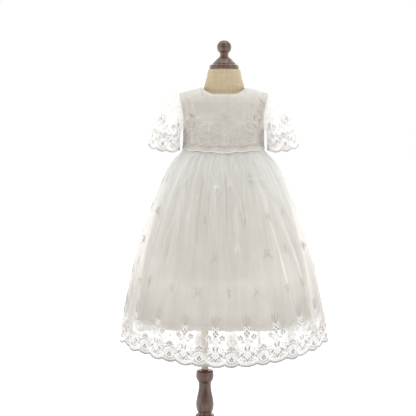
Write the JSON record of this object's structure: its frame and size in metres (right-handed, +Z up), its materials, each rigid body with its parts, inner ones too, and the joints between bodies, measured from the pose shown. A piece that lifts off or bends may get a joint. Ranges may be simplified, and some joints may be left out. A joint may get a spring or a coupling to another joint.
{
  "type": "christening gown on a dress form",
  "caption": "Short-sleeved christening gown with a high waist and a gathered net skirt scalloped at the hem, worn by a limbless dress form on a turned wooden stand.",
  "frame": {"origin": "on the surface that the stand rests on, at the middle of the whole object's box, which is the gown's own upright axis", "axes": "+Z up; the front of the gown faces -Y; the wearer's left is at +X"},
  "size_m": [0.457, 0.4, 0.966],
  "materials": {
    "bodice_cotton": "off-white woven cotton",
    "embroidered_net": "sheer off-white net with white embroidery",
    "skirt_lining": "off-white woven lining",
    "button": "covered in off-white cotton",
    "form_linen": "natural linen, tightly covered",
    "dark_wood": "dark stained and satin varnished",
    "pale_wood": "pale, lightly waxed"
  },
  "bodies": {
    "root": {"bodice_front": "bodice_cotton", "bodice_back_left": "bodice_cotton", "bodice_back_right": "bodice_cotton", "net_front": "embroidered_net", "net_back_left": "embroidered_net", "net_back_right": "embroidered_net", "sleeve_left": "embroidered_net", "sleeve_right": "embroidered_net", "skirt_front": "embroidered_net", "skirt_back": "embroidered_net", "lining_front": "skirt_lining", "lining_back": "skirt_lining", "button_top": "button", "button_middle": "button", "button_low": "button", "form_torso": "form_linen", "form_finial": "dark_wood", "stand_baluster": "dark_wood", "stand_base": "dark_wood", "stand_rod": "pale_wood"}
  },
  "joints": []
}
